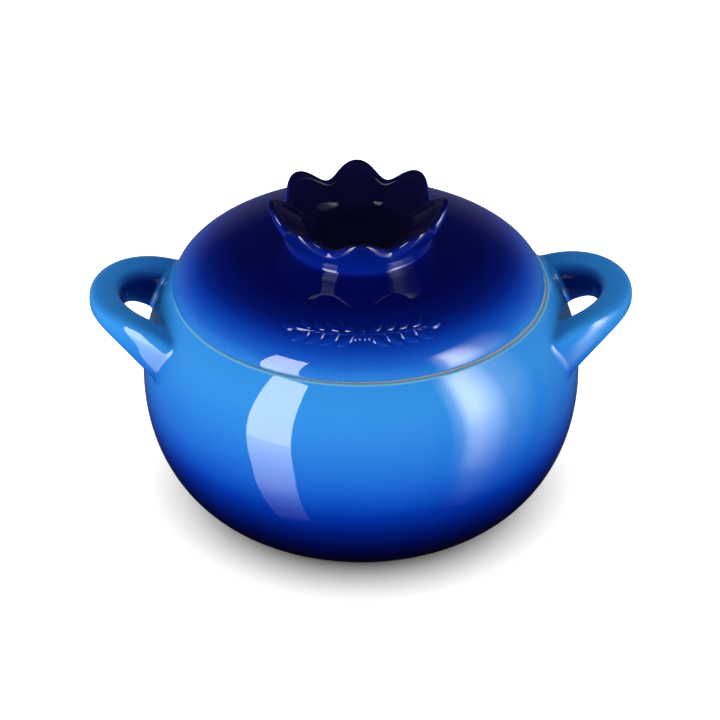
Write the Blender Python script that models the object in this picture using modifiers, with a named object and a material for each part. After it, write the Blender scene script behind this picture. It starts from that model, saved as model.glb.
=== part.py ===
"""Lidded stoneware pot shaped like a pomegranate: a round body on a low foot ring, two loop handles,
and a loose domed lid with a locating flange and a hollow crown of eight petals for its knob.

Metres, +Z up. The origin is on the floor, on the pot's axis. The handles lie along X.
"""

from math import acos, atan2, cos, hypot, pi, radians, sin

import bmesh
import bpy

MM = 0.001

# Fits and gaps
JOINT_GAP = 0.3 * MM  # between pieces that touch
TURN_STEPS = 48  # facets round the pot and the lid
CROWN_STEPS = 64  # facets round the crown, eight to a petal

# Pot body: the outer wall is two quarter curves that meet at the belly
BELLY_RADIUS = 70.0 * MM
BELLY_HEIGHT = 43.7 * MM
RIM_RADIUS = 59.2 * MM
RIM_HEIGHT = 75.0 * MM
BASE_RADIUS = 38.5 * MM  # where the lower curve would meet the floor
BASE_HEIGHT = 2.2 * MM  # the underside, held off the floor by the foot ring
LOWER_ROUNDNESS = 2.07  # 2 is an ellipse
SHOULDER_POWER = 2.5  # how late the wall turns in towards the rim
WALL = 5.5 * MM
FLOOR_THICKNESS = 6.0 * MM
RIM_ROUND = 0.9 * MM
MOUTH_RADIUS = 53.4 * MM
UNDERSIDE_ROUND = 1.5 * MM

# Foot ring, unglazed
FOOT_OUTER_RADIUS = 43.0 * MM
FOOT_INNER_RADIUS = 37.5 * MM
FOOT_CHAMFER = 0.6 * MM

# Loop handles: a strap between two ovals, tall at the wall and slim at the outer end
HANDLE_CENTRE = 58.0 * MM  # the ovals' centre, inside the pot's wall
HANDLE_OUTER_REACH = 28.0 * MM
HANDLE_OUTER_HALF_WIDTH = 25.9 * MM
HANDLE_INNER_REACH = 17.5 * MM
HANDLE_INNER_HALF_WIDTH = 15.0 * MM
HANDLE_OUTLINE_POWER = 2.1
HANDLE_TOP_AT_WALL = 68.5 * MM
HANDLE_TOP_RISE = 6.7 * MM
HANDLE_BOTTOM_AT_WALL = 50.2 * MM
HANDLE_BOTTOM_RISE = 17.6 * MM
HANDLE_TOP_POWER = 2.55
HANDLE_BOTTOM_POWER = 1.4
STRAP_SQUARENESS = 2.9  # 2 is an oval section
ROOT_FLARE = 3.0 * MM  # how much wider the loop stands where it meets the wall
HANDLE_RINGS = 28
STRAP_POINTS = 16

# Lid: a flat-topped dome with steep shoulders. It is loose, and rests a little to the left
LID_SHIFT = -0.8 * MM
LID_RADIUS = 58.9 * MM
LID_RISE = 15.6 * MM
DOME_FLATNESS = 3.6
DOME_ROUNDNESS = 1.75
LID_WALL = 5.0 * MM
LID_EDGE_ROUND = 0.8 * MM
HOLLOW_RADIUS = 47.5 * MM
HOLLOW_CORNER = 3.5 * MM

# Locating flange under the lid
FLANGE_CLEARANCE = 1.2 * MM  # to the pot's mouth, all round
FLANGE_WIDTH = 4.4 * MM
FLANGE_DEPTH = 6.0 * MM
FLANGE_CHAMFER = 0.8 * MM

# Crown: a cup whose wall flares up into petals
PETALS = 8
CROWN_FOOT_RADIUS = 20.9 * MM
CROWN_FILLET = 1.2 * MM
CROWN_VALLEY_RADIUS = 25.5 * MM
CROWN_VALLEY_HEIGHT = 99.9 * MM
PETAL_RISE = 4.6 * MM
PETAL_FLARE = 3.6 * MM
PETAL_BREADTH = 0.08  # widens the petals and tightens the notches between them
CROWN_RIM_THICKNESS = 3.4 * MM
CROWN_FLOOR_RADIUS = 17.0 * MM
CROWN_FLOOR_HEIGHT = 93.0 * MM
CROWN_FLOOR_CORNER = 5.0 * MM

AZURE = (0.045, 0.235, 0.78, 1.0)
COBALT = (0.012, 0.045, 0.42, 1.0)
NAVY = (0.008, 0.012, 0.16, 1.0)
BUFF = (0.62, 0.47, 0.31, 1.0)
GLAZE_ROUGHNESS = 0.08
BISQUE_ROUGHNESS = 0.85


def clear_scene():
    for item in list(bpy.data.objects):
        bpy.data.objects.remove(item, do_unlink=True)


def make_collection(name):
    collection = bpy.data.collections.new(name)
    bpy.context.scene.collection.children.link(collection)
    return collection


def make_material(name, colour, roughness):
    material = bpy.data.materials.new(name)
    material.use_nodes = True
    material.diffuse_color = colour
    shader = material.node_tree.nodes["Principled BSDF"]
    shader.inputs["Base Color"].default_value = colour
    shader.inputs["Roughness"].default_value = roughness
    shader.inputs["Metallic"].default_value = 0.0
    return material


def arc(centre_x, centre_z, radius, start_degrees, end_degrees, steps):
    """Points on an arc in the profile plane, both ends included."""
    angles = [start_degrees + (end_degrees - start_degrees) * i / steps for i in range(steps + 1)]
    return [(centre_x + radius * cos(radians(a)), centre_z + radius * sin(radians(a))) for a in angles]


def turned(name, profile, steps, material, collection, closed):
    """Turn a profile about Z. It runs down its outer side and, if open, starts and ends on the axis."""
    count = len(profile)
    edges = [(i, i + 1) for i in range(count - 1)]
    if closed:
        edges.append((count - 1, 0))
    mesh = bpy.data.meshes.new(name)
    mesh.from_pydata([(x, 0.0, z) for x, z in profile], edges, [])
    mesh.materials.append(material)
    item = bpy.data.objects.new(name, mesh)
    collection.objects.link(item)
    screw = item.modifiers.new("turn", "SCREW")
    screw.axis = "Z"
    screw.angle = 2.0 * pi
    screw.steps = steps
    screw.render_steps = steps
    screw.use_merge_vertices = True
    screw.merge_threshold = 0.01 * MM
    screw.use_smooth_shade = True
    return item


def lower_wall(offset, lowest, points):
    """The wall from the belly down to the height `lowest`, moved outwards by `offset`."""
    power = 2.0 / LOWER_ROUNDNESS
    depth = BELLY_HEIGHT + offset
    reach = BELLY_RADIUS + offset - BASE_RADIUS
    last = acos(((BELLY_HEIGHT - lowest) / depth) ** (1.0 / power))
    wall = []
    for i in range(points + 1):
        turn = pi / 2.0 + (last - pi / 2.0) * i / points
        wall.append((BASE_RADIUS + reach * sin(turn) ** power, BELLY_HEIGHT - depth * cos(turn) ** power))
    return wall


def upper_wall(offset, points):
    """The wall from the rim down to just above the belly, moved outwards by `offset`."""
    wall = []
    for i in range(points):
        rise = 1.0 - i / points
        radius = BELLY_RADIUS - (BELLY_RADIUS - RIM_RADIUS) * rise**SHOULDER_POWER
        wall.append((radius + offset, BELLY_HEIGHT + (RIM_HEIGHT - BELLY_HEIGHT) * rise))
    return wall


def make_pot_body(material, collection):
    floor_top = BASE_HEIGHT + FLOOR_THICKNESS
    inside = upper_wall(-WALL, 9)[1:] + lower_wall(-WALL, floor_top, 10)
    inside.reverse()
    outside = upper_wall(0.0, 10)[1:] + lower_wall(0.0, BASE_HEIGHT + UNDERSIDE_ROUND, 12)
    lip = arc(MOUTH_RADIUS + RIM_ROUND, RIM_HEIGHT - RIM_ROUND, RIM_ROUND, 180, 90, 3)
    lip += arc(RIM_RADIUS - RIM_ROUND, RIM_HEIGHT - RIM_ROUND, RIM_ROUND, 90, 10, 3)
    base_edge = outside[-1][0] - 2.0 * UNDERSIDE_ROUND
    profile = [(0.0, floor_top)] + inside + lip + outside + [(base_edge, BASE_HEIGHT), (0.0, BASE_HEIGHT)]
    return turned("pot_body", profile, TURN_STEPS, material, collection, closed=False)


def make_foot_ring(material, collection):
    top = BASE_HEIGHT - JOINT_GAP
    profile = [
        (FOOT_OUTER_RADIUS, top),
        (FOOT_OUTER_RADIUS, FOOT_CHAMFER),
        (FOOT_OUTER_RADIUS - FOOT_CHAMFER, 0.0),
        (FOOT_INNER_RADIUS + FOOT_CHAMFER, 0.0),
        (FOOT_INNER_RADIUS, FOOT_CHAMFER),
        (FOOT_INNER_RADIUS, top),
    ]
    return turned("foot_ring", profile, TURN_STEPS, material, collection, closed=True)


def make_wall_cutter(collection):
    """The pot's outer shape with the joint gap added, which trims the handles' ends to the wall."""
    outside = upper_wall(JOINT_GAP, 10) + lower_wall(JOINT_GAP, 0.3 * BELLY_HEIGHT, 10)
    profile = [(0.0, outside[0][1])] + outside + [(0.0, outside[-1][1])]
    cutter = turned("wall_cutter", profile, TURN_STEPS, None, collection, closed=False)
    cutter.hide_render = True
    cutter.display_type = "WIRE"
    return cutter


def oval_point(reach, half_width, angle):
    """A point on a handle's plan outline, `angle` round from its outer end."""
    power = 2.0 / HANDLE_OUTLINE_POWER
    across = abs(sin(angle)) ** power
    return (
        HANDLE_CENTRE + reach * max(cos(angle), 0.0) ** power,
        half_width * (across if angle > 0.0 else -across),
    )


def strap_heights(x):
    """The underside and the top of the strap at a distance x from the pot's axis."""
    along = min(max((x - HANDLE_CENTRE) / HANDLE_OUTER_REACH, 0.0), 1.0)
    top = HANDLE_TOP_AT_WALL + HANDLE_TOP_RISE * (1.0 - (1.0 - along) ** HANDLE_TOP_POWER)
    bottom = HANDLE_BOTTOM_AT_WALL + HANDLE_BOTTOM_RISE * sin(along * pi / 2.0) ** HANDLE_BOTTOM_POWER
    return bottom, top


def strap_section(angle):
    """One closed section of the strap, a rounded box standing across the loop."""
    inner = oval_point(HANDLE_INNER_REACH, HANDLE_INNER_HALF_WIDTH, angle)
    outer = oval_point(HANDLE_OUTER_REACH, HANDLE_OUTER_HALF_WIDTH, angle)
    near_wall = (1.0 - (outer[0] - HANDLE_CENTRE) / HANDLE_OUTER_REACH) ** 3
    outer = oval_point(HANDLE_OUTER_REACH, HANDLE_OUTER_HALF_WIDTH + ROOT_FLARE * near_wall, angle)
    power = 2.0 / STRAP_SQUARENESS
    ring = []
    for i in range(STRAP_POINTS):
        turn = 2.0 * pi * i / STRAP_POINTS
        out, up = cos(turn), sin(turn)
        across = (abs(out) ** power * (1.0 if out > 0.0 else -1.0) + 1.0) / 2.0
        lift = (abs(up) ** power * (1.0 if up > 0.0 else -1.0) + 1.0) / 2.0
        x = inner[0] + (outer[0] - inner[0]) * across
        y = inner[1] + (outer[1] - inner[1]) * across
        bottom, top = strap_heights(x)
        ring.append((x, y, bottom + (top - bottom) * lift))
    return ring


def make_handle_mesh(material):
    """A strap bent into a loop, its ends still inside the pot's wall."""
    shape = bmesh.new()
    rings = []
    for i in range(HANDLE_RINGS + 1):
        angle = -pi / 2.0 + pi * i / HANDLE_RINGS
        rings.append([shape.verts.new(point) for point in strap_section(angle)])
    for near, far in zip(rings, rings[1:]):
        for i in range(STRAP_POINTS):
            j = (i + 1) % STRAP_POINTS
            shape.faces.new((near[i], near[j], far[j], far[i]))
    shape.faces.new(rings[0])
    shape.faces.new(rings[-1])
    bmesh.ops.recalc_face_normals(shape, faces=shape.faces)
    mesh = bpy.data.meshes.new("handle")
    shape.to_mesh(mesh)
    shape.free()
    mesh.materials.append(material)
    mesh.shade_smooth()
    return mesh


def make_handles(material, collection, cutter):
    """The same loop on both sides, each trimmed to the pot's wall."""
    mesh = make_handle_mesh(material)
    for name, side in (("handle_right", 0.0), ("handle_left", pi)):
        item = bpy.data.objects.new(name, mesh)
        item.rotation_euler[2] = side
        collection.objects.link(item)
        trim = item.modifiers.new("trim_to_wall", "BOOLEAN")
        trim.operation = "DIFFERENCE"
        trim.solver = "EXACT"
        trim.object = cutter


def dome_height(radius):
    """Height of the lid's outer surface at a radius."""
    fall = 1.0 - (radius / LID_RADIUS) ** DOME_FLATNESS
    return RIM_HEIGHT + JOINT_GAP + LID_RISE * max(fall, 0.0) ** (1.0 / DOME_ROUNDNESS)


def make_lid_dome(material, collection):
    seat = RIM_HEIGHT + JOINT_GAP
    outer_turns = [radians(a) for a in (90, 74, 60, 50, 42, 35, 29, 24, 19.5, 15.5, 12)]
    outside = [(LID_RADIUS * cos(t), dome_height(LID_RADIUS * cos(t))) for t in outer_turns]
    outside[0] = (0.0, outside[0][1])
    edge = arc(LID_RADIUS - LID_EDGE_ROUND, seat + LID_EDGE_ROUND, LID_EDGE_ROUND, 0, -90, 3)
    corner_height = dome_height(HOLLOW_RADIUS) - LID_WALL - HOLLOW_CORNER
    inside = [(HOLLOW_RADIUS, seat), (HOLLOW_RADIUS, corner_height)]
    for share in (0.955, 0.87, 0.74, 0.56, 0.3, 0.0):
        radius = HOLLOW_RADIUS * share
        inside.append((radius, dome_height(radius) - LID_WALL))
    return turned("lid_dome", outside + edge + inside, TURN_STEPS, material, collection, closed=False)


def make_lid_flange(material, collection):
    outer = MOUTH_RADIUS - FLANGE_CLEARANCE
    inner = outer - FLANGE_WIDTH
    top = RIM_HEIGHT
    bottom = RIM_HEIGHT - FLANGE_DEPTH
    profile = [
        (outer, top),
        (outer, bottom + FLANGE_CHAMFER),
        (outer - FLANGE_CHAMFER, bottom),
        (inner + FLANGE_CHAMFER, bottom),
        (inner, bottom + FLANGE_CHAMFER),
        (inner, top),
    ]
    return turned("lid_flange", profile, TURN_STEPS, material, collection, closed=True)


def crown_profile():
    """The cup's section through a notch between two petals."""
    floor = [(0.0, CROWN_FLOOR_HEIGHT)]
    corner = arc(
        CROWN_FLOOR_RADIUS - CROWN_FLOOR_CORNER,
        CROWN_FLOOR_HEIGHT + CROWN_FLOOR_CORNER,
        CROWN_FLOOR_CORNER,
        -90,
        -25,
        3,
    )
    half = CROWN_RIM_THICKNESS / 2.0
    rim = arc(CROWN_VALLEY_RADIUS - half, CROWN_VALLEY_HEIGHT - half, half, 160, -20, 6)
    foot_height = dome_height(CROWN_FOOT_RADIUS) + JOINT_GAP
    waist = [
        (CROWN_FOOT_RADIUS + 0.35 * CROWN_FILLET, foot_height + 1.6 * CROWN_FILLET),
        (CROWN_FOOT_RADIUS + 0.3 * CROWN_FILLET, foot_height + CROWN_FILLET),
        (CROWN_FOOT_RADIUS + CROWN_FILLET, dome_height(CROWN_FOOT_RADIUS + CROWN_FILLET) + JOINT_GAP),
    ]
    underside_radii = [CROWN_FOOT_RADIUS * share for share in (0.7, 0.35, 0.0)]
    underside = [(radius, dome_height(radius) + JOINT_GAP) for radius in underside_radii]
    return floor + corner + rim + waist + underside


def petal_wave(angle):
    """1 on a petal's tip, 0 in the notch between two petals. One tip faces -Y."""
    phase = PETALS * (angle + pi / 2.0)
    return (1.0 + cos(phase)) / 2.0 + PETAL_BREADTH * sin(phase) ** 2


def make_calyx_knob(material, collection):
    """Turn the cup, then lift and flare its wall into petals, more towards the rim."""
    cup = turned("crown_cup", crown_profile(), CROWN_STEPS, material, collection, closed=False)
    evaluated = cup.evaluated_get(bpy.context.evaluated_depsgraph_get())
    mesh = bpy.data.meshes.new_from_object(evaluated)
    bpy.data.objects.remove(cup, do_unlink=True)
    mesh.name = "calyx_knob"
    wall_height = CROWN_VALLEY_HEIGHT - CROWN_FLOOR_HEIGHT
    for vertex in mesh.vertices:
        x, y, z = vertex.co
        radius = hypot(x, y)
        if z > CROWN_FLOOR_HEIGHT and radius > CROWN_FLOOR_RADIUS / 2.0:
            share = min((z - CROWN_FLOOR_HEIGHT) / wall_height, 1.0)
            wave = petal_wave(atan2(y, x))
            grown = 1.0 + PETAL_FLARE * wave * share**2 / radius
            vertex.co = (x * grown, y * grown, z + PETAL_RISE * wave * share**1.5)
    mesh.shade_smooth()
    item = bpy.data.objects.new("calyx_knob", mesh)
    collection.objects.link(item)
    return item


def main():
    clear_scene()
    pot = make_collection("lidded_pot")
    cutters = make_collection("cutters")
    azure = make_material("azure_glaze", AZURE, GLAZE_ROUGHNESS)
    cobalt = make_material("cobalt_glaze", COBALT, GLAZE_ROUGHNESS)
    navy = make_material("navy_glaze", NAVY, GLAZE_ROUGHNESS)
    buff = make_material("buff_stoneware", BUFF, BISQUE_ROUGHNESS)
    make_pot_body(azure, pot)
    make_foot_ring(buff, pot)
    make_handles(azure, pot, make_wall_cutter(cutters))
    lid = (make_lid_dome(cobalt, pot), make_lid_flange(buff, pot), make_calyx_knob(navy, pot))
    for piece in lid:
        piece.location.x = LID_SHIFT


main()
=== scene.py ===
"""Looks of the lidded stoneware pot: a glazed round pot with two loop handles, and a loose domed lid
whose knob is a hollow crown of petals, in a plain white studio.

Metres, +Z up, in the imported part's frame. Main sizes are read from the part's solids.
"""

from math import acos, atan2, cos, hypot, pi, radians, sin, tan

import bpy
import numpy as np
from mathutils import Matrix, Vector


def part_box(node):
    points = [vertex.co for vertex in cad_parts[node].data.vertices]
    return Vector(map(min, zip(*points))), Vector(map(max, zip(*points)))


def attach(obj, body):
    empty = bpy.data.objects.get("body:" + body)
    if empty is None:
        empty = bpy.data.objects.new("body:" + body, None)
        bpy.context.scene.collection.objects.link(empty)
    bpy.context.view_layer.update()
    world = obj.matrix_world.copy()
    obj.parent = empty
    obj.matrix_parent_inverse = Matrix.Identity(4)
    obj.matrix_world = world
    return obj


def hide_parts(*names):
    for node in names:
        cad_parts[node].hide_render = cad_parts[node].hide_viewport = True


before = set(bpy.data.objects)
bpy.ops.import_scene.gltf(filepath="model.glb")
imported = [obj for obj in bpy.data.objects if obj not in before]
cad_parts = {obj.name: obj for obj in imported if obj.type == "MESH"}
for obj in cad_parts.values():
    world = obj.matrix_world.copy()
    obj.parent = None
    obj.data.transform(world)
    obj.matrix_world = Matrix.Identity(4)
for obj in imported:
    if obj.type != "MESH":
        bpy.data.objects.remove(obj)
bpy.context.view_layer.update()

MM = 0.001

# Pot, from its solids
POT_LOW, POT_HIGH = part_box("pot_body")
FOOT_LOW, FOOT_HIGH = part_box("foot_ring")
BELLY_RADIUS = POT_HIGH.y
RIM_HEIGHT = POT_HIGH.z
BASE_HEIGHT = POT_LOW.z
FOOT_RADIUS = FOOT_HIGH.x

# Pot, shape
BELLY_HEIGHT = 43.7 * MM
RIM_RADIUS = 59.2 * MM
BASE_RADIUS = 38.5 * MM
LOWER_ROUNDNESS = 2.07
SHOULDER_POWER = 2.5
WALL = 5.5 * MM
FLOOR_THICKNESS = 6.0 * MM
RIM_ROUND = 0.9 * MM
MOUTH_RADIUS = 53.4 * MM
UNDERSIDE_ROUND = 1.5 * MM
FOOT_WIDTH = 5.5 * MM
FOOT_ROUND = 1.0 * MM
TURN_STEPS = 256
WALL_STEP = 0.4 * MM
SLOPE_STEP = 0.05 * MM  # how far above and below a point its slope is measured
ON_AXIS = 1e-7  # a radius under this is a single point on the axis

# Handles
HANDLE_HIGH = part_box("handle_right")[1]
HANDLE_CENTRE = 58.0 * MM
HANDLE_OUTER_REACH = HANDLE_HIGH.x - HANDLE_CENTRE
HANDLE_OUTER_HALF_WIDTH = 25.9 * MM
HANDLE_INNER_REACH = 17.5 * MM
HANDLE_INNER_HALF_WIDTH = 15.0 * MM
HANDLE_OUTLINE_POWER = 2.1
HANDLE_TOP_AT_WALL = 68.5 * MM
HANDLE_TOP_RISE = 6.7 * MM
HANDLE_BOTTOM_AT_WALL = 50.2 * MM
HANDLE_BOTTOM_RISE = 17.6 * MM
HANDLE_TOP_POWER = 2.55
HANDLE_BOTTOM_POWER = 1.4
STRAP_SQUARENESS = 2.9
ROOT_FLARE = 3.0 * MM  # how much wider the loop stands where it meets the wall
ROOT_SQUARENESS = 2.0  # how much squarer the strap's section is there
ROOT_POWER = 3.0  # how quickly both die away from the wall
STRAP_POINTS = 72
HALF_STRAP_RINGS = 56
ROOT_FILLET = 2.2 * MM
ROOT_FILLET_RINGS = 10
STRAIGHT_RUN = 12.0 * MM  # how far the strap's lines go on into the wall while the root is looked for
ROOT_SWEEPS = (0.5, pi / 2.0 + 1.0)  # between which the strap's lines meet the wall, from its outer end
FILLET_SWEEP_LOW = 0.3
HALVINGS = 40
STRAP_TURNS = [2.0 * pi * i / STRAP_POINTS for i in range(STRAP_POINTS)]

# Lid, from its solids
LID_LOW, LID_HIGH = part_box("lid_dome")
FLANGE_LOW, FLANGE_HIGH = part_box("lid_flange")
CROWN_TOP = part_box("calyx_knob")[1].z
LID_X = (LID_LOW.x + LID_HIGH.x) / 2.0
LID_RADIUS = (LID_HIGH.x - LID_LOW.x) / 2.0
LID_SEAT = LID_LOW.z
LID_RISE = LID_HIGH.z - LID_LOW.z
FLANGE_RADIUS = (FLANGE_HIGH.x - FLANGE_LOW.x) / 2.0

# Lid, shape
DOME_FLATNESS = 3.6
DOME_ROUNDNESS = 1.75
LID_WALL = 5.0 * MM
LID_EDGE_ROUND = 0.8 * MM
HOLLOW_RADIUS = 47.5 * MM
FLANGE_WIDTH = 4.4 * MM
FLANGE_ROUND = 1.0 * MM
DOME_STEP = 0.45 * MM
DOME_SHARES = np.sin(np.linspace(0.0, pi / 2.0, 600)) ** 0.8  # closer together towards the edge
ROOF_EDGE = 0.93  # share of the hollow's radius where its roof starts to turn down
ROOF_POINTS = 60

# Crown
PETALS = 8
CROWN_FOOT_RADIUS = 20.9 * MM
CROWN_FILLET = 3.8 * MM
CROWN_VALLEY_RADIUS = 25.5 * MM
CROWN_VALLEY_HEIGHT = 99.9 * MM
PETAL_RISE = CROWN_TOP - CROWN_VALLEY_HEIGHT
PETAL_FLARE = 3.6 * MM
PETAL_BREADTH = 0.08
CROWN_RIM_THICKNESS = 3.4 * MM
CROWN_FLOOR_RADIUS = 17.0 * MM
CROWN_FLOOR_HEIGHT = 93.0 * MM
CROWN_FLOOR_CORNER = 5.0 * MM
CROWN_FLOOR_STEP = 0.3 * MM
CROWN_WALL_STEP = 0.25 * MM
CROWN_FLOOR_ARC = (-90.0, -25.0)  # degrees
CROWN_RIM_ARC = (160.0, -20.0)
CROWN_RIM_STEPS = 24
CROWN_FILLET_STEPS = 16
PETAL_FLARE_POWER = 2.0
PETAL_RISE_POWER = 1.5

# Relief on the lid's front: a plain leaf sprig, the same on both sides of its middle
SPRIG_RADIUS = 48.3 * MM  # from the lid's axis to its stem
SPRIG_HALF_LENGTH = 24.5 * MM
SPRIG_HALF_HEIGHT = 4.2 * MM
SPRIG_RISE = 0.5 * MM
SPRIG_STEP = 0.14 * MM
LEAF_FIRST = 4.6 * MM  # from the sprig's middle to its first pair of leaves
LEAF_SPACING = 4.4 * MM
LEAF_PAIRS = 4
LEAF_TILT = radians(38.0)
LEAF_HALF_LENGTH = 2.9 * MM
LEAF_HALF_WIDTH = 1.45 * MM
LEAF_OFFSET = 2.2 * MM  # from the stem to the middle of a leaf
LEAF_TIP_BREADTH = 1e-6  # what is left of a leaf's breadth at its tips and beyond
BERRY_RADIUS = 1.25 * MM
BERRY_PLACES = ((0.0, -BERRY_RADIUS), (BERRY_RADIUS * 1.1, BERRY_RADIUS * 0.9))
STEM_HALF_WIDTH = 0.5 * MM
EDGE_SHARE = 0.85  # how much of a raised shape's half width its rounded edge takes

SUNK = 0.03 * MM  # how far a piece's last ring dips under the surface that it runs out on


def srgb(red, green, blue):
    """A colour given as screen values from 0 to 255, as linear light with alpha."""
    shares = [value / 255.0 for value in (red, green, blue)]
    return tuple(s / 12.92 if s <= 0.04045 else ((s + 0.055) / 1.055) ** 2.4 for s in shares) + (1.0,)


# ---------------------------------------------------------------- outlines


def arc(centre_x, centre_z, radius, start_degrees, end_degrees, steps=10):
    angles = np.radians(np.linspace(start_degrees, end_degrees, steps + 1))
    return [(centre_x + radius * cos(a), centre_z + radius * sin(a)) for a in angles]


def bend(start, corner, end, steps=10):
    """A smooth turn from start to end that is tangent to the lines through the corner."""
    start, corner, end = (np.array(p, float) for p in (start, corner, end))
    shares = np.linspace(0.0, 1.0, steps + 1)
    return [tuple((1 - u) ** 2 * start + 2 * u * (1 - u) * corner + u * u * end) for u in shares]


def evenly(points, spacing):
    """The same outline with its points an even distance apart."""
    points = np.array(points, float)
    lengths = np.hypot(*np.diff(points, axis=0).T)
    along = np.concatenate([[0.0], np.cumsum(lengths)])
    places = np.linspace(0.0, along[-1], max(2, int(round(along[-1] / spacing)) + 1))
    return [(np.interp(s, along, points[:, 0]), np.interp(s, along, points[:, 1])) for s in places]


def wall_radius(height, offset=0.0):
    """Radius of the pot's outer wall at a height, moved outwards by `offset`."""
    if height >= BELLY_HEIGHT:
        rise = (height - BELLY_HEIGHT) / (RIM_HEIGHT - BELLY_HEIGHT)
        return BELLY_RADIUS - (BELLY_RADIUS - RIM_RADIUS) * rise**SHOULDER_POWER + offset
    power = 2.0 / LOWER_ROUNDNESS
    share = (BELLY_HEIGHT - height) / (BELLY_HEIGHT + offset)
    turn = acos(min(share ** (1.0 / power), 1.0))
    return BASE_RADIUS + (BELLY_RADIUS + offset - BASE_RADIUS) * sin(turn) ** power


def wall_normal(point):
    """The outer wall's outward direction at a point on it."""
    slope = (wall_radius(point.z + SLOPE_STEP) - wall_radius(point.z - SLOPE_STEP)) / (2.0 * SLOPE_STEP)
    around = hypot(point.x, point.y)
    return Vector((point.x / around, point.y / around, -slope)).normalized()


def dome_height(radius):
    fall = 1.0 - (radius / LID_RADIUS) ** DOME_FLATNESS
    return LID_SEAT + LID_RISE * max(fall, 0.0) ** (1.0 / DOME_ROUNDNESS)


# ---------------------------------------------------------------- meshes


def make_piece(name, points, faces, materials):
    mesh = bpy.data.meshes.new(name)
    mesh.from_pydata(points, [], faces)
    for material in materials:
        mesh.materials.append(material)
    mesh.shade_smooth()
    mesh.validate()
    piece = bpy.data.objects.new(name, mesh)
    bpy.context.scene.collection.objects.link(piece)
    return piece


def turned(name, outline, materials, centre_x=0.0, closed=False, steps=TURN_STEPS, shape=None):
    """Turn an outline about a vertical axis. An open one starts and ends on that axis.

    `shape` may move each point."""
    angles = np.arange(steps) * 2.0 * pi / steps
    points, faces, rings = [], [], []
    for radius, height in outline:
        first = len(points)
        if radius < ON_AXIS:
            points.append((centre_x, 0.0, height))
            rings.append([first] * steps)
            continue
        for angle in angles:
            x, y, z = radius * cos(angle), radius * sin(angle), height
            if shape:
                x, y, z = shape(x, y, z)
            points.append((x + centre_x, y, z))
        rings.append(list(range(first, first + steps)))
    stretches = list(zip(rings, rings[1:]))
    if closed:
        stretches.append((rings[-1], rings[0]))
    for upper, lower in stretches:
        for i in range(steps):
            j = (i + 1) % steps
            corners = [upper[i], lower[i], lower[j], upper[j]]
            faces.append([c for k, c in enumerate(corners) if c not in corners[:k]])
    return make_piece(name, points, faces, materials)


def mark(piece, name, values):
    """Store one number for each of a piece's points, for its material to read."""
    attribute = piece.data.attributes.new(name, "FLOAT", "POINT")
    attribute.data.foreach_set("value", np.array(values, np.float32))


# ---------------------------------------------------------------- pot


def pot_outline():
    """From the middle of the floor inside, over the rim, down the outer wall and under the base."""
    floor_top = BASE_HEIGHT + FLOOR_THICKNESS
    heights = np.arange(floor_top + WALL_STEP, RIM_HEIGHT - 2.0 * RIM_ROUND, WALL_STEP)
    inside = [(wall_radius(z, -WALL), z) for z in heights]
    floor_edge = (inside[0][0], floor_top)
    lip_centre = RIM_HEIGHT - RIM_ROUND
    rim_slope = wall_radius(RIM_HEIGHT - RIM_ROUND) - wall_radius(RIM_HEIGHT)
    lean = np.degrees(np.arctan2(rim_slope, RIM_ROUND))
    outer_lip = RIM_RADIUS - RIM_ROUND * cos(radians(lean)) + rim_slope * (1.0 - sin(radians(lean)))
    lip = arc(MOUTH_RADIUS + RIM_ROUND, lip_centre, RIM_ROUND, 180.0 + lean / 2.0, 90.0)
    lip += arc(outer_lip, lip_centre, RIM_ROUND, 90.0, lean)
    base_top = BASE_HEIGHT + UNDERSIDE_ROUND
    outside = [(wall_radius(z), z) for z in np.arange(lip[-1][1] - WALL_STEP, base_top, -WALL_STEP)]
    base_corner = (outside[-1][0] - UNDERSIDE_ROUND, BASE_HEIGHT)
    base_end = (base_corner[0] - UNDERSIDE_ROUND, BASE_HEIGHT)
    inner = evenly([(0.0, floor_top), floor_edge], MM) + inside
    outer = lip + outside + bend(outside[-1], base_corner, base_end)[1:] + [(0.0, BASE_HEIGHT)]
    return inner + outer


def make_pot(glaze):
    return turned("pot_wall", pot_outline(), [glaze])


def make_foot(clay):
    """The unglazed ring that the pot stands on, its lower corners worn round."""
    inner, low = FOOT_RADIUS - FOOT_WIDTH, FOOT_LOW.z
    top = BASE_HEIGHT + SUNK
    outline = [(FOOT_RADIUS, top)]
    outline += arc(FOOT_RADIUS - FOOT_ROUND, low + FOOT_ROUND, FOOT_ROUND, 0.0, -90.0)
    outline += arc(inner + FOOT_ROUND, low + FOOT_ROUND, FOOT_ROUND, -90.0, -180.0)
    outline.append((inner, top))
    return turned("foot_ring_bisque", outline, [clay], closed=True)


def rounded(angle, power):
    """A point at an angle on a unit superellipse: 2 is a circle, more is squarer."""
    c, s = cos(angle), sin(angle)
    reach = (abs(c) ** power + abs(s) ** power) ** (-1.0 / power)
    return c * reach, s * reach


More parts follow.
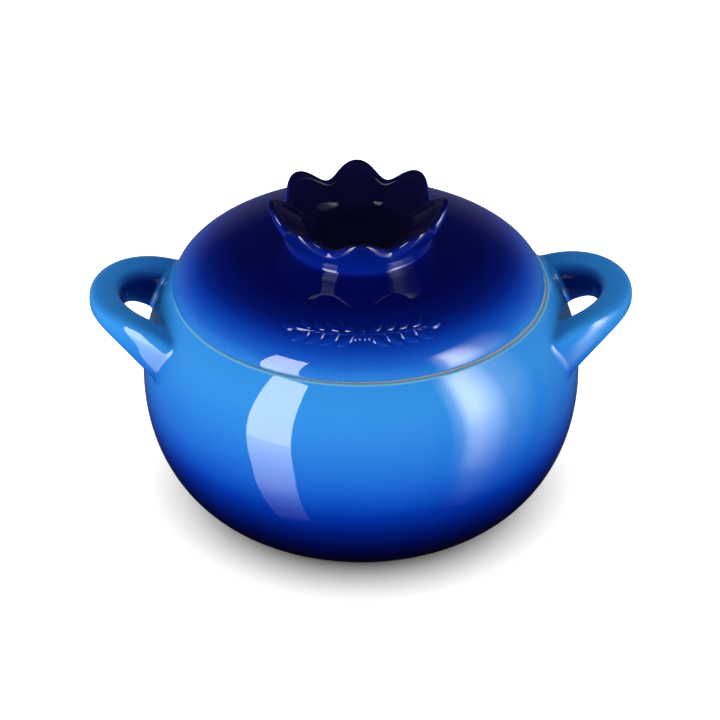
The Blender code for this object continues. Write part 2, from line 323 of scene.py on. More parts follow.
def strap_point(sweep, turn):
    """A point on the strap. `sweep` runs round the loop from its outer end, `turn` round the section.

    Past a quarter turn the strap runs on straight into the pot's wall."""
    reach, width = rounded(min(sweep, pi / 2.0), HANDLE_OUTLINE_POWER)
    run_on = max(sweep - pi / 2.0, 0.0) * STRAIGHT_RUN
    near_wall = (1.0 - reach) ** ROOT_POWER
    squareness = STRAP_SQUARENESS + ROOT_SQUARENESS * near_wall
    across, lift = ((share + 1.0) / 2.0 for share in rounded(turn, squareness))
    reach_size = HANDLE_INNER_REACH + (HANDLE_OUTER_REACH - HANDLE_INNER_REACH) * across
    width_size = HANDLE_INNER_HALF_WIDTH + (HANDLE_OUTER_HALF_WIDTH - HANDLE_INNER_HALF_WIDTH) * across
    x = HANDLE_CENTRE + reach_size * reach - run_on
    y = (width_size + ROOT_FLARE * near_wall * across) * width
    along = min(max((x - HANDLE_CENTRE) / HANDLE_OUTER_REACH, 0.0), 1.0)
    top = HANDLE_TOP_AT_WALL + HANDLE_TOP_RISE * (1.0 - (1.0 - along) ** HANDLE_TOP_POWER)
    bottom = HANDLE_BOTTOM_AT_WALL + HANDLE_BOTTOM_RISE * sin(along * pi / 2.0) ** HANDLE_BOTTOM_POWER
    return Vector((x, y, bottom + (top - bottom) * lift))


def last_sweep(low, high, turn, holds):
    """How far round the loop `holds` stays true for the strap's points, by halving."""
    for _ in range(HALVINGS):
        middle = (low + high) / 2.0
        if holds(strap_point(middle, turn)):
            low = middle
        else:
            high = middle
    return low


def root_sweep(turn):
    """How far round the loop one of the strap's lines meets the pot's wall."""
    return last_sweep(*ROOT_SWEEPS, turn, lambda point: hypot(point.x, point.y) > wall_radius(point.z))


def fillet_sweep(turn, root):
    """How far round the loop the fillet starts, ROOT_FILLET before the root."""
    end = strap_point(root, turn)
    return last_sweep(FILLET_SWEEP_LOW, root, turn, lambda point: (point - end).length > ROOT_FILLET)


def on_wall(point, sunk=0.0):
    """The point moved level with the axis onto the pot's outer wall."""
    scale = (wall_radius(point.z) - sunk) / hypot(point.x, point.y)
    return Vector((point.x * scale, point.y * scale, point.z))


def half_strap():
    """Rings of points from the outer end to the wall on the +Y side, the last ones a fillet onto it."""
    roots = [root_sweep(turn) for turn in STRAP_TURNS]
    starts = [fillet_sweep(turn, root) for turn, root in zip(STRAP_TURNS, roots)]
    rings = []
    for ring in range(HALF_STRAP_RINGS + 1):
        share = ring / HALF_STRAP_RINGS
        rings.append([strap_point(start * share, turn) for start, turn in zip(starts, STRAP_TURNS)])
    corners = [on_wall(strap_point(root, turn)) for root, turn in zip(roots, STRAP_TURNS)]
    middle = sum(corners, Vector()) / STRAP_POINTS
    feet = []
    for i, corner in enumerate(corners):
        along = corners[(i + 1) % STRAP_POINTS] - corners[i - 1]
        outward = along.cross(wall_normal(corner)).normalized()
        if outward.dot(corner - middle) < 0.0:
            outward.negate()
        feet.append(on_wall(corner + outward * ROOT_FILLET, SUNK))
    for ring in range(1, ROOT_FILLET_RINGS + 1):
        u = ring / ROOT_FILLET_RINGS
        weights = ((1.0 - u) ** 2, 2.0 * u * (1.0 - u), u * u)
        rings.append(
            [
                weights[0] * strap_point(start, turn) + weights[1] * corner + weights[2] * foot
                for start, turn, corner, foot in zip(starts, STRAP_TURNS, corners, feet)
            ]
        )
    return rings


def make_handle(name, side, glaze, half):
    """A loop with both roots run out onto the wall. `side` is 1 for +X and -1 for -X."""
    far = [[Vector((p.x, -p.y, p.z)) for p in ring] for ring in reversed(half[1:])]
    rings = far + half
    points = [(p.x * side, p.y * side, p.z) for ring in rings for p in ring]
    faces = []
    for ring in range(len(rings) - 1):
        for i in range(STRAP_POINTS):
            j = (i + 1) % STRAP_POINTS
            near, next_ring = ring * STRAP_POINTS, (ring + 1) * STRAP_POINTS
            faces.append((near + i, near + j, next_ring + j, next_ring + i))
    handle = make_piece(name, points, faces, [glaze])
    # Where the material paints shade: the strap's side that faces the pot, faded out over the root fillet.
    inward = np.array([(1.0 - rounded(turn, STRAP_SQUARENESS)[0]) / 2.0 for turn in STRAP_TURNS])
    near_wall = np.clip((np.arange(len(half)) - HALF_STRAP_RINGS) / ROOT_FILLET_RINGS, 0.0, 1.0)
    near_wall = np.concatenate([near_wall[:0:-1], near_wall])
    mark(handle, "inside", np.outer(1.0 - near_wall, inward).ravel())
    mark(handle, "near_wall", np.repeat(near_wall, STRAP_POINTS))
    return handle


# ---------------------------------------------------------------- lid


def lid_outline():
    """From the top of the dome over its edge, along the seat and up into the hollow."""
    edge_top = LID_SEAT + LID_EDGE_ROUND
    fall = (LID_EDGE_ROUND / LID_RISE) ** DOME_ROUNDNESS
    edge_radius = LID_RADIUS * (1.0 - fall) ** (1.0 / DOME_FLATNESS)
    dome = [(edge_radius * s, dome_height(edge_radius * s)) for s in DOME_SHARES]
    edge = arc(edge_radius - LID_EDGE_ROUND, edge_top, LID_EDGE_ROUND, 0.0, -90.0)
    roof_radii = np.linspace(HOLLOW_RADIUS * ROOF_EDGE, 0.0, ROOF_POINTS)
    roof = [(r, dome_height(r) - LID_WALL) for r in roof_radii]
    side_top = (HOLLOW_RADIUS, roof[0][1] - (HOLLOW_RADIUS - roof[0][0]))
    hollow_corner = (HOLLOW_RADIUS, roof[0][1])
    hollow = evenly([(HOLLOW_RADIUS, LID_SEAT), side_top], MM) + bend(side_top, hollow_corner, roof[0])[1:]
    return evenly(dome, DOME_STEP) + edge[1:] + hollow + roof[1:]


def make_lid(glaze):
    return turned("lid_shell", lid_outline(), [glaze], centre_x=LID_X)


def make_flange(clay):
    """The unglazed ring under the lid that keeps it centred in the mouth."""
    inner, low = FLANGE_RADIUS - FLANGE_WIDTH, FLANGE_LOW.z
    top = LID_SEAT + SUNK
    outline = [(FLANGE_RADIUS, top)]
    outline += arc(FLANGE_RADIUS - FLANGE_ROUND, low + FLANGE_ROUND, FLANGE_ROUND, 0.0, -90.0)
    outline += arc(inner + FLANGE_ROUND, low + FLANGE_ROUND, FLANGE_ROUND, -90.0, -180.0)
    outline.append((inner, top))
    return turned("lid_flange_bisque", outline, [clay], centre_x=LID_X, closed=True)


def crown_outline():
    """The cup's section through a notch between two petals, its foot run out onto the dome.

    Beside it, 1 for each point on the inside, 0 outside and a fade over the rim."""
    corner = arc(
        CROWN_FLOOR_RADIUS - CROWN_FLOOR_CORNER,
        CROWN_FLOOR_HEIGHT + CROWN_FLOOR_CORNER,
        CROWN_FLOOR_CORNER,
        *CROWN_FLOOR_ARC,
    )
    half = CROWN_RIM_THICKNESS / 2.0
    rim = arc(CROWN_VALLEY_RADIUS - half, CROWN_VALLEY_HEIGHT - half, half, *CROWN_RIM_ARC, CROWN_RIM_STEPS)
    foot = (CROWN_FOOT_RADIUS, dome_height(CROWN_FOOT_RADIUS))
    wall = np.array(rim[-1]) - np.array(foot)
    fillet_top = tuple(np.array(foot) + wall / np.hypot(*wall) * CROWN_FILLET)
    fillet_end_radius = CROWN_FOOT_RADIUS + CROWN_FILLET
    fillet_end = (fillet_end_radius, dome_height(fillet_end_radius) - SUNK)
    inner = evenly([(0.0, CROWN_FLOOR_HEIGHT)] + corner, CROWN_FLOOR_STEP)
    inner += evenly([corner[-1], rim[0]], CROWN_WALL_STEP)[1:]
    outer = evenly([rim[-1], fillet_top], CROWN_WALL_STEP)[1:]
    outer += bend(fillet_top, foot, fillet_end, CROWN_FILLET_STEPS)[1:]
    inside = [1.0] * len(inner) + list(np.linspace(1.0, 0.0, len(rim) - 1)) + [0.0] * len(outer)
    return inner + rim[1:] + outer, inside


def petal_wave(angle):
    """1 on a petal's tip, 0 in the notch between two petals. One tip faces -Y."""
    phase = PETALS * (angle + pi / 2.0)
    return (1.0 + cos(phase)) / 2.0 + PETAL_BREADTH * sin(phase) ** 2


def petal_shape(x, y, z):
    """Lift and flare the cup's wall into petals, more towards the rim."""
    radius = hypot(x, y)
    if z <= CROWN_FLOOR_HEIGHT or radius < CROWN_FLOOR_RADIUS / 2.0:
        return x, y, z
    share = min((z - CROWN_FLOOR_HEIGHT) / (CROWN_VALLEY_HEIGHT - CROWN_FLOOR_HEIGHT), 1.0)
    wave = petal_wave(atan2(y, x))
    grown = 1.0 + PETAL_FLARE * wave * share**PETAL_FLARE_POWER / radius
    return x * grown, y * grown, z + PETAL_RISE * wave * share**PETAL_RISE_POWER


def make_crown(outer_glaze, inner_glaze):
    outline, inside = crown_outline()
    crown = turned("crown_knob", outline, [outer_glaze, inner_glaze], centre_x=LID_X, shape=petal_shape)
    rest = np.repeat(inside[1:], TURN_STEPS)
    mark(crown, "inside", np.concatenate([inside[:1], rest]))
    crown.data.polygons.foreach_set("material_index", (rest > 0.5).astype(np.int32))
    return crown


def swell(inset):
    """Height of a raised shape, from 0 at its outline to 1 on its flat top."""
    share = np.clip(inset / EDGE_SHARE, 0.0, 1.0)
    return np.sin(share * pi / 2.0)


def leaf_inset(along, across, middle, tilt):
    """1 on a leaf's midline, 0 on its outline."""
    x, y = along - middle[0], across - middle[1]
    length = (x * cos(tilt) + y * sin(tilt)) / LEAF_HALF_LENGTH
    breadth = (y * cos(tilt) - x * sin(tilt)) / LEAF_HALF_WIDTH
    return 1.0 - np.abs(breadth) / np.maximum(1.0 - length**2, LEAF_TIP_BREADTH)


def berry_inset(along, across, middle):
    return 1.0 - np.hypot(along - middle[0], across - middle[1]) / BERRY_RADIUS


def sprig_height(along, across):
    """Share of the relief's full height. `along` is the distance from the sprig's middle to either side."""
    last = LEAF_FIRST + LEAF_PAIRS * LEAF_SPACING
    height = swell(1.0 - np.abs(across) / STEM_HALF_WIDTH) * (along < last)
    for pair in range(LEAF_PAIRS):
        place = LEAF_FIRST + pair * LEAF_SPACING
        for side in (-1.0, 1.0):
            middle = (place, side * LEAF_OFFSET)
            height = np.maximum(height, swell(leaf_inset(along, across, middle, side * LEAF_TILT)))
    height = np.maximum(height, swell(leaf_inset(along, across, (last, 0.0), 0.0)))
    for middle in BERRY_PLACES:
        height = np.maximum(height, swell(berry_inset(along, across, middle)))
    return height


def dome_normal(radius):
    """The dome's outward direction, as (away from the axis, up)."""
    slope = (dome_height(radius + SLOPE_STEP) - dome_height(radius - SLOPE_STEP)) / (2.0 * SLOPE_STEP)
    return -slope / hypot(slope, 1.0), 1.0 / hypot(slope, 1.0)


def make_sprig(glaze):
    """The sprig's raised shapes, their edges dipping under the dome's surface."""
    alongs = np.arange(-SPRIG_HALF_LENGTH, SPRIG_HALF_LENGTH, SPRIG_STEP)
    acrosses = np.arange(-SPRIG_HALF_HEIGHT, SPRIG_HALF_HEIGHT, SPRIG_STEP)
    shares = sprig_height(np.abs(alongs)[:, None], acrosses[None, :])
    lifts = shares * (SPRIG_RISE + SUNK) - SUNK
    points = []
    for along, row in zip(alongs, lifts):
        turn = along / SPRIG_RADIUS
        for across, lift in zip(acrosses, row):
            radius = SPRIG_RADIUS + across
            out, up = dome_normal(radius)
            reach = radius + lift * out
            points.append((LID_X + reach * sin(turn), -reach * cos(turn), dome_height(radius) + lift * up))
    faces = []
    columns = len(acrosses)
    for i in range(len(alongs) - 1):
        for j in range(columns - 1):
            if shares[i : i + 2, j : j + 2].max() > 0.0:
                corner = i * columns + j
                faces.append((corner, corner + 1, corner + columns + 1, corner + columns))
    used = sorted({corner for face in faces for corner in face})
    place = {corner: index for index, corner in enumerate(used)}
    kept = [points[corner] for corner in used]
    return make_piece("sprig_relief", kept, [tuple(place[c] for c in face) for face in faces], [glaze])


# ---------------------------------------------------------------- materials


def new_material(name, roughness):
    material = bpy.data.materials.new(name)
    material.use_nodes = True
    shader = material.node_tree.nodes["Principled BSDF"]
    shader.inputs["Roughness"].default_value = roughness
    return material, material.node_tree, shader


def math_node(tree, operation, first, second):
    item = tree.nodes.new("ShaderNodeMath")
    item.operation = operation
    for socket, value in zip(item.inputs, (first, second)):
        if isinstance(value, (int, float)):
            socket.default_value = value
        else:
            tree.links.new(value, socket)
    return item.outputs["Value"]


def noise(tree, position, size, detail=2.0):
    """Noise about 0, its features `size` metres across."""
    item = tree.nodes.new("ShaderNodeTexNoise")
    item.inputs["Scale"].default_value = 1.0 / size
    item.inputs["Detail"].default_value = detail
    tree.links.new(position, item.inputs["Vector"])
    return math_node(tree, "SUBTRACT", item.outputs["Fac"], 0.5)


def ramp(tree, value, stops):
    """Colours along a value. Each stop is (value, colour)."""
    low, high = stops[0][0], stops[-1][0]
    scaled = tree.nodes.new("ShaderNodeMapRange")
    scaled.inputs["From Min"].default_value = low
    scaled.inputs["From Max"].default_value = high
    tree.links.new(value, scaled.inputs["Value"])
    item = tree.nodes.new("ShaderNodeValToRGB")
    elements = item.color_ramp.elements
    while len(elements) < len(stops):
        elements.new(0.5)
    for element, (place, colour) in zip(elements, stops):
        element.position = (place - low) / (high - low)
        element.color = colour
    tree.links.new(scaled.outputs["Result"], item.inputs["Fac"])
    return item.outputs["Color"]


def mix(tree, share, first, second):
    item = tree.nodes.new("ShaderNodeMix")
    item.data_type = "RGBA"
    for name, value in (("Factor", share), ("A", first), ("B", second)):
        socket = next(s for s in item.inputs if s.name == name and (name == "Factor" or s.type == "RGBA"))
        if isinstance(value, (int, float, tuple)):
            socket.default_value = value
        else:
            tree.links.new(value, socket)
    return next(s for s in item.outputs if s.type == "RGBA")


def step_share(tree, value, low, high):
    """0 below `low`, 1 above `high`, smooth between."""
    item = tree.nodes.new("ShaderNodeMapRange")
    item.interpolation_type = "SMOOTHSTEP"
    item.inputs["From Min"].default_value = low
    item.inputs["From Max"].default_value = high
    tree.links.new(value, item.inputs["Value"])
    return item.outputs["Result"]


def object_position(tree):
    item = tree.nodes.new("ShaderNodeTexCoord")
    return item.outputs["Object"]


def axis_value(tree, position, axis):
    item = tree.nodes.new("ShaderNodeSeparateXYZ")
    tree.links.new(position, item.inputs["Vector"])
    return item.outputs[axis]


def height_of(tree, position):
    return axis_value(tree, position, "Z")


def radius_of(tree, position, centre_x):
    """Distance from a vertical axis at centre_x."""
    x = math_node(tree, "SUBTRACT", axis_value(tree, position, "X"), centre_x)
    y = axis_value(tree, position, "Y")
    squares = math_node(tree, "ADD", math_node(tree, "MULTIPLY", x, x), math_node(tree, "MULTIPLY", y, y))
    return math_node(tree, "POWER", squares, 0.5)


def add_bump(tree, shader, height, distance, strength):
    item = tree.nodes.new("ShaderNodeBump")
    item.inputs["Distance"].default_value = distance
    item.inputs["Strength"].default_value = strength
    tree.links.new(height, item.inputs["Height"])
    tree.links.new(item.outputs["Normal"], shader.inputs["Normal"])


GLAZE_ROUGHNESS = 0.03
GLOSS_CHANGE = 0.02
RIPPLE_DEPTH = 0.02 * MM
RIPPLE_STRENGTH = 0.3
CLAY_ROUGHNESS = 0.85
CLAY_SPECKLE = 0.5 * MM
CLAY_SPECKLE_RANGE = (-0.15, 0.2)
CLAY_GRAIN = 0.4 * MM
CLAY_GRAIN_DEPTH = 0.1 * MM
CLAY_GRAIN_STRENGTH = 0.6
CLAY_DETAIL = 4.0
SPRAY_SIZE = 2.0 * MM  # how unevenly the spray's colours follow the height
LID_SPRAY_SIZE = 1.2 * MM
CROWN_SPRAY_SIZE = 1.0 * MM
SPRAY_GRAIN = 0.9 * MM  # droplets of the sprayed glaze
SPRAY_DRIFT = 14.0 * MM  # slow unevenness of the spray
PEEL = 9.0 * MM  # the slow ripple of a fired glaze

AZURE = srgb(54, 149, 234)
CLAY = srgb(240, 234, 218)
CLAY_SHADED = srgb(226, 214, 190)
GLAZE_BREAK = srgb(118, 186, 220)

# Height to colour, from the base to the rim
POT_STOPS = [
    (6.0 * MM, srgb(8, 7, 34)),
    (14.0 * MM, srgb(5, 8, 60)),
    (20.0 * MM, srgb(1, 15, 88)),
    (26.0 * MM, srgb(1, 26, 118)),
    (33.0 * MM, srgb(2, 48, 161)),
    (40.0 * MM, srgb(16, 82, 195)),
    (48.0 * MM, srgb(32, 110, 212)),
    (58.0 * MM, srgb(42, 132, 223)),
    (68.0 * MM, AZURE),
]

# Distance from the lid's axis to colour
LID_STOPS = [
    (20.0 * MM, srgb(3, 8, 88)),
    (38.0 * MM, srgb(2, 9, 92)),
    (46.0 * MM, srgb(2, 23, 119)),
    (50.0 * MM, srgb(4, 41, 152)),
    (54.0 * MM, srgb(14, 72, 190)),
    (57.0 * MM, srgb(29, 98, 206)),
    (58.8 * MM, srgb(42, 127, 217)),
]

# Height to colour, from the crown's foot to its petals' tips
CROWN_STOPS = [
    (90.5 * MM, srgb(2, 10, 96)),
    (93.0 * MM, srgb(2, 36, 150)),
    (98.5 * MM, srgb(3, 34, 142)),
    (104.0 * MM, srgb(5, 16, 104)),
]
# The crown's inside: the dark glaze, darkened further as painted shade for the cup's hollow.
CROWN_INSIDE_GLAZE_AND_SHADE = srgb(15, 13, 52)
CROWN_SPECULAR = 0.5
CROWN_INSIDE_SPECULAR = 0.1
# Painted shade for the handle's side that faces the pot, which lies in the loop's shade.
HANDLE_INNER_PAINTED_SHADE = srgb(4, 30, 108)
HANDLE_LOWER_PAINTED_SHADE = 1.7  # how much faster the colours run down a handle than down the wall, as painted shade on its lower side, with some glaze pooling
HANDLE_INNER_SHADE_RANGE = (0.72, 1.0)
CROWN_INSIDE_RANGE = (0.25, 0.85)

# The glaze ends just below the pot's rim, and the rim's top is bare inwards of BARE_REACH
RIM_BREAK = (RIM_HEIGHT - 0.6 * MM, RIM_HEIGHT - 0.2 * MM)
BARE_REACH = (RIM_RADIUS - 0.9 * MM, RIM_RADIUS - 0.8 * MM)
WAVER_SIZE = 3.0 * MM
WAVER_DEPTH = 0.15 * MM
LID_BARE_RANGE = (LID_SEAT + 0.01 * MM, LID_SEAT + 0.04 * MM)


def glaze_finish(tree, shader, position):
    """The ripple and the slight differences in gloss of a fired glaze."""
    gloss = math_node(tree, "MULTIPLY", noise(tree, position, PEEL), GLOSS_CHANGE)
    tree.links.new(math_node(tree, "ADD", gloss, GLAZE_ROUGHNESS), shader.inputs["Roughness"])
    add_bump(tree, shader, noise(tree, position, PEEL, 0.0), RIPPLE_DEPTH, RIPPLE_STRENGTH)


def sprayed(tree, position, value, size):
    """The value that a sprayed gradient follows, uneven by up to `size`."""
    grain = math_node(tree, "MULTIPLY", noise(tree, position, SPRAY_GRAIN, 1.0), size)
    drift = math_node(tree, "MULTIPLY", noise(tree, position, SPRAY_DRIFT), size)
    return math_node(tree, "ADD", value, math_node(tree, "ADD", grain, drift))


def clay_colour(tree, position):
    speckle = noise(tree, position, CLAY_SPECKLE, CLAY_DETAIL)
    return mix(tree, step_share(tree, speckle, *CLAY_SPECKLE_RANGE), CLAY, CLAY_SHADED)


def azure_by_height(tree, position, height):
    return ramp(tree, sprayed(tree, position, height, SPRAY_SIZE), POT_STOPS)


def stored(tree, name):
    """The number that `mark` stored on a piece's points."""
    item = tree.nodes.new("ShaderNodeAttribute")
    item.attribute_name = name
    return item.outputs["Fac"]


def make_pot_glaze():
    """Azure at the rim to near black at the base, thin and pale where it ends below the bare rim."""
    material, tree, shader = new_material("glaze_azure", GLAZE_ROUGHNESS)
    position = object_position(tree)
    height = height_of(tree, position)
    colour = azure_by_height(tree, position, height)
    waver = math_node(tree, "MULTIPLY", noise(tree, position, WAVER_SIZE), WAVER_DEPTH)
    reach = math_node(tree, "ADD", radius_of(tree, position, 0.0), waver)
    near_top = step_share(tree, height, *RIM_BREAK)
    glazed = step_share(tree, reach, *BARE_REACH)
    colour = mix(tree, near_top, colour, GLAZE_BREAK)
    bare = math_node(tree, "MULTIPLY", near_top, math_node(tree, "SUBTRACT", 1.0, glazed))
    colour = mix(tree, bare, colour, clay_colour(tree, position))
    tree.links.new(colour, shader.inputs["Base Color"])
    glaze_finish(tree, shader, position)
    return material


def make_handle_glaze():
    """The pot's azure, with painted shade on the side that faces the pot, and running down faster than the
    wall's as painted shade, with some glaze pooling, lower on the strap.
    """
    material, tree, shader = new_material("glaze_azure_handles", GLAZE_ROUGHNESS)
    position = object_position(tree)
    # Painted shade, with some glaze pooling: the strap darkens faster downwards than the wall, easing back to
    # the wall's own colours at the root.
    drop = math_node(tree, "SUBTRACT", HANDLE_HIGH.z, height_of(tree, position))
    easing = math_node(tree, "MULTIPLY", stored(tree, "near_wall"), HANDLE_LOWER_PAINTED_SHADE - 1.0)
    shade = math_node(tree, "SUBTRACT", HANDLE_LOWER_PAINTED_SHADE, easing)
    height = math_node(tree, "SUBTRACT", HANDLE_HIGH.z, math_node(tree, "MULTIPLY", drop, shade))
    colour = azure_by_height(tree, position, height)
    # Painted shade: the handle's side that faces the pot is darkened to a deep navy.
    inside = step_share(tree, stored(tree, "inside"), *HANDLE_INNER_SHADE_RANGE)
    colour = mix(tree, inside, colour, HANDLE_INNER_PAINTED_SHADE)
    tree.links.new(colour, shader.inputs["Base Color"])
    glaze_finish(tree, shader, position)
    return material


def make_lid_glaze():
    """Near-black navy in the middle to azure at the edge, with a bare seat."""
    material, tree, shader = new_material("glaze_cobalt", GLAZE_ROUGHNESS)
    position = object_position(tree)
    radius = radius_of(tree, position, LID_X)
    colour = ramp(tree, sprayed(tree, position, radius, LID_SPRAY_SIZE), LID_STOPS)
    glazed = step_share(tree, height_of(tree, position), *LID_BARE_RANGE)
    colour = mix(tree, glazed, clay_colour(tree, position), colour)
    tree.links.new(colour, shader.inputs["Base Color"])
    glaze_finish(tree, shader, position)
    return material


def make_crown_glaze(name, specular):
    """Cobalt outside; inside a near-black navy, partly the glaze's own dark colour and partly painted shade
    for the cup's hollow, where the glaze also shines less.
    """
    material, tree, shader = new_material(name, GLAZE_ROUGHNESS)
    shader.inputs["Specular IOR Level"].default_value = specular
    position = object_position(tree)
    height = height_of(tree, position)
    outside = ramp(tree, sprayed(tree, position, height, CROWN_SPRAY_SIZE), CROWN_STOPS)
    # Dark glaze plus painted shade: the cup's inside turns near-black navy.
    inside = step_share(tree, stored(tree, "inside"), *CROWN_INSIDE_RANGE)
    tree.links.new(mix(tree, inside, outside, CROWN_INSIDE_GLAZE_AND_SHADE), shader.inputs["Base Color"])
    glaze_finish(tree, shader, position)
    return material


def make_clay():
    material, tree, shader = new_material("bare_stoneware", CLAY_ROUGHNESS)
    position = object_position(tree)
    tree.links.new(clay_colour(tree, position), shader.inputs["Base Color"])
    grain = noise(tree, position, CLAY_GRAIN, CLAY_DETAIL)
    add_bump(tree, shader, grain, CLAY_GRAIN_DEPTH, CLAY_GRAIN_STRENGTH)
    return material


# ---------------------------------------------------------------- studio

CAMERA_DISTANCE = 0.84
CAMERA_ELEVATION = radians(32.75)
CAMERA_TURN = radians(1.3)  # the left handle is a little nearer
CAMERA_TARGET = Vector((0.0, 0.0, 0.042))
CAMERA_LENS = 129.9  # millimetres, on a sensor SENSOR_WIDTH wide
SENSOR_WIDTH = 36.0
CAMERA_CLIP_START = 0.01
CAMERA_SHIFT = (-0.0015, 0.0146)

# Brightness of the surroundings by the height of the direction, from -1 down to 1 up: what lights
# the object, how much darker its right side is, and what its glazes mirror
LIGHTING_STOPS = [(-1.0, 0.25), (-0.2, 0.55), (0.0, 2.6), (0.3, 2.8), (0.5, 0.6), (0.7, 0.1), (1.0, 0.0)]
RIGHT_DIMMING_STOPS = [(-1.0, 0.5), (0.0, 0.2), (0.25, 0.05), (1.0, 0.0)]
MIRRORED_STOPS = [
    (-1.0, 0.0),
    (-0.7, 0.005),
    (-0.5, 0.05),
    (-0.2, 0.11),
    (0.1, 0.125),
    (0.25, 0.08),
    (0.38, 0.02),
    (0.55, 0.012),
    (1.0, 0.005),
]

# Light panels. Brightness by height above the floor, and by azimuth in degrees from the front
LIGHT_DISTANCE = 1.2
STRIP_AZIMUTH = -46.0
STRIP_HALF_ANGLE = radians(11.5)
STRIP_LOW, STRIP_HIGH = -1.9, 1.15
STRIP_STOPS = [
    (-1.9, 0.0),
    (-1.6, 0.35),
    (-1.3, 0.55),
    (-1.05, 1.1),
    (-0.75, 3.4),
    (-0.45, 5.4),
    (-0.14, 7.8),
    (-0.12, 10.6),
    (1.2, 10.6),
]
SOFTBOX_AZIMUTH = 68.0
SOFTBOX_WIDTH = 1.6
SOFTBOX_LOW, SOFTBOX_HIGH = -1.4, 1.3
SOFTBOX_SIDEWAYS = [
    (42.0, 0.0),
    (48.0, 0.25),
    (53.0, 0.9),
    (58.0, 1.0),
    (66.0, 0.65),
    (76.0, 0.17),
    (96.0, 0.0),
]
SOFTBOX_UPWARDS = [
    (-1.2, 0.1),
    (-0.78, 0.67),
    (-0.66, 2.0),
    (-0.39, 4.0),
    (-0.08, 6.8),
    (0.26, 12.5),
    (0.51, 13.4),
    (0.9, 12.0),
    (1.3, 2.0),
]

FLOOR_SIZE = 6.0
FLOOR_GREY = 0.3
FLOOR_ROUGHNESS = 0.9
FLOOR_LIGHT_SIZE = 4.0
FLOOR_LIGHT_HEIGHT = 1.2
FLOOR_LIGHT_WATTS = 310.0


def make_camera():
    data = bpy.data.cameras.new("camera")
    data.lens = CAMERA_LENS
    data.sensor_width = SENSOR_WIDTH
    data.shift_x, data.shift_y = CAMERA_SHIFT
    data.clip_start = CAMERA_CLIP_START
    camera = bpy.data.objects.new("camera", data)
    bpy.context.scene.collection.objects.link(camera)
    level = CAMERA_DISTANCE * cos(CAMERA_ELEVATION)
    up = CAMERA_DISTANCE * sin(CAMERA_ELEVATION)
    away = Vector((-level * sin(CAMERA_TURN), -level * cos(CAMERA_TURN), up))
    camera.location = CAMERA_TARGET + away
    camera.rotation_euler = (pi / 2.0 - CAMERA_ELEVATION, 0.0, -CAMERA_TURN)
    bpy.context.scene.camera = camera


def grey_ramp(tree, value, stops):
    """Brightness along a value. Each stop is (value, brightness)."""
    levels = [(place, (level, level, level, 1.0)) for place, level in stops]
    return ramp(tree, value, levels)


def make_world():
    """White behind the object, a soft surround that lights it, and a dim one in its reflections."""
    world = bpy.data.worlds.new("studio")
    bpy.context.scene.world = world
    world.use_nodes = True
    tree = world.node_tree
    background = tree.nodes["Background"]
    direction = tree.nodes.new("ShaderNodeTexCoord").outputs["Generated"]
    height = height_of(tree, direction)
    path = tree.nodes.new("ShaderNodeLightPath")
    rightwards = axis_value(tree, direction, "X")
    dimming = math_node(tree, "MULTIPLY", rightwards, grey_ramp(tree, height, RIGHT_DIMMING_STOPS))
    side = math_node(tree, "SUBTRACT", 1.0, dimming)
    lighting = math_node(tree, "MULTIPLY", grey_ramp(tree, height, LIGHTING_STOPS), side)
    mirrored = grey_ramp(tree, height, MIRRORED_STOPS)
    colour = mix(tree, path.outputs["Is Glossy Ray"], lighting, mirrored)
    colour = mix(tree, path.outputs["Is Camera Ray"], colour, (1.0, 1.0, 1.0, 1.0))
    tree.links.new(colour, background.inputs["Color"])


def make_softbox(name, azimuth, width, low, high, strength_node):
    """An upright light panel facing the pot, seen only in reflections. Azimuth 0 is the front, -Y."""
    half = width / 2.0
    turn = radians(azimuth)
    centre = Vector((sin(turn), -cos(turn), 0.0)) * LIGHT_DISTANCE
    across = Vector((cos(turn), sin(turn), 0.0)) * half
    corners = [centre - across, centre + across]
    points = [tuple(c + Vector((0.0, 0.0, z))) for z in (low, high) for c in corners]
    mesh = bpy.data.meshes.new(name)
    mesh.from_pydata(points, [], [(0, 1, 3, 2)])
    panel = bpy.data.objects.new(name, mesh)
    bpy.context.scene.collection.objects.link(panel)
    material = bpy.data.materials.new(name)
    material.use_nodes = True
    tree = material.node_tree
    tree.nodes.clear()
    emission = tree.nodes.new("ShaderNodeEmission")
    output = tree.nodes.new("ShaderNodeOutputMaterial")
    tree.links.new(emission.outputs["Emission"], output.inputs["Surface"])
    tree.links.new(strength_node(tree), emission.inputs["Strength"])
    mesh.materials.append(material)
    panel.visible_camera = False
    panel.visible_diffuse = False
    panel.visible_shadow = False


def panel_place(tree):
    """Azimuth from the front in degrees, and height, of a point on a panel."""
    position = tree.nodes.new("ShaderNodeNewGeometry").outputs["Position"]
    forwards = math_node(tree, "MULTIPLY", axis_value(tree, position, "Y"), -1.0)
    azimuth = math_node(tree, "ARCTAN2", axis_value(tree, position, "X"), forwards)
    return math_node(tree, "MULTIPLY", azimuth, 180.0 / pi), height_of(tree, position)


def strip_strength(tree):
    """Bright above the floor's line, dimmer and fading below it, as a strip mirrored in a floor is."""
    return grey_ramp(tree, panel_place(tree)[1], STRIP_STOPS)


def softbox_strength(tree):
    """Brightest at its middle and fading out to both sides and downwards."""
    azimuth, height = panel_place(tree)
    sideways = grey_ramp(tree, azimuth, SOFTBOX_SIDEWAYS)
    upwards = grey_ramp(tree, height, SOFTBOX_UPWARDS)
    return math_node(tree, "MULTIPLY", sideways, upwards)


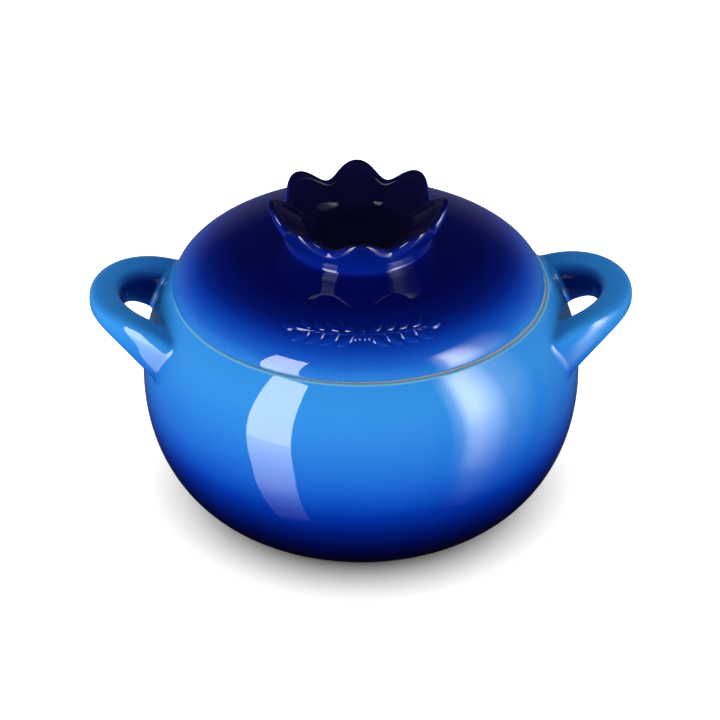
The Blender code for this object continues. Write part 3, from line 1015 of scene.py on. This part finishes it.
def make_floor():
    mesh = bpy.data.meshes.new("floor")
    half = FLOOR_SIZE / 2.0
    corners = [(-half, -half, 0.0), (half, -half, 0.0), (half, half, 0.0), (-half, half, 0.0)]
    mesh.from_pydata(corners, [], [(0, 1, 2, 3)])
    floor = bpy.data.objects.new("floor", mesh)
    floor.location.z = FOOT_LOW.z
    bpy.context.scene.collection.objects.link(floor)
    material, _, shader = new_material("floor_white", FLOOR_ROUGHNESS)
    shader.inputs["Base Color"].default_value = (FLOOR_GREY, FLOOR_GREY, FLOOR_GREY, 1.0)
    shader.inputs["Specular IOR Level"].default_value = 0.0
    mesh.materials.append(material)
    floor.visible_glossy = False
    floor.visible_diffuse = False
    return floor


def make_floor_light(floor):
    """A wide soft light from above that falls on the floor alone, so that the floor reads white."""
    receivers = bpy.data.collections.new("floor_only")
    receivers.objects.link(floor)
    data = bpy.data.lights.new("floor_light", "AREA")
    data.shape = "DISK"
    data.size = FLOOR_LIGHT_SIZE
    data.energy = FLOOR_LIGHT_WATTS
    light = bpy.data.objects.new("floor_light", data)
    light.location = (0.0, 0.0, FLOOR_LIGHT_HEIGHT)
    light.visible_glossy = False
    light.visible_camera = False
    light.light_linking.receiver_collection = receivers
    bpy.context.scene.collection.objects.link(light)


def main():
    pot_glaze = make_pot_glaze()
    handle_glaze = make_handle_glaze()
    lid_glaze = make_lid_glaze()
    crown_glaze = make_crown_glaze("glaze_navy", CROWN_SPECULAR)
    crown_inner_glaze = make_crown_glaze("glaze_navy_inside", CROWN_INSIDE_SPECULAR)
    clay = make_clay()
    half = half_strap()
    pieces = [
        (make_pot(pot_glaze), "pot", "pot_body", "azure_glaze"),
        (make_foot(clay), "pot", "foot_ring", "buff_stoneware"),
        (make_handle("handle_loop_right", 1.0, handle_glaze, half), "pot", "handle_right", "azure_glaze"),
        (make_handle("handle_loop_left", -1.0, handle_glaze, half), "pot", "handle_left", "azure_glaze"),
        (make_lid(lid_glaze), "lid", "lid_dome", "cobalt_glaze"),
        (make_flange(clay), "lid", "lid_flange", "buff_stoneware"),
        (make_sprig(lid_glaze), "lid", "lid_dome", "cobalt_glaze"),
        (make_crown(crown_glaze, crown_inner_glaze), "lid", "calyx_knob", "navy_glaze"),
    ]
    for piece, body, node, slot in pieces:
        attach(piece, body)
        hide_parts(node)
    make_world()
    strip_width = 2.0 * LIGHT_DISTANCE * tan(STRIP_HALF_ANGLE)
    make_softbox("softbox_left", STRIP_AZIMUTH, strip_width, STRIP_LOW, STRIP_HIGH, strip_strength)
    make_softbox("softbox_right", SOFTBOX_AZIMUTH, SOFTBOX_WIDTH, SOFTBOX_LOW, SOFTBOX_HIGH, softbox_strength)
    make_floor_light(make_floor())
    make_camera()
    bpy.context.scene.view_settings.view_transform = "Standard"


main()
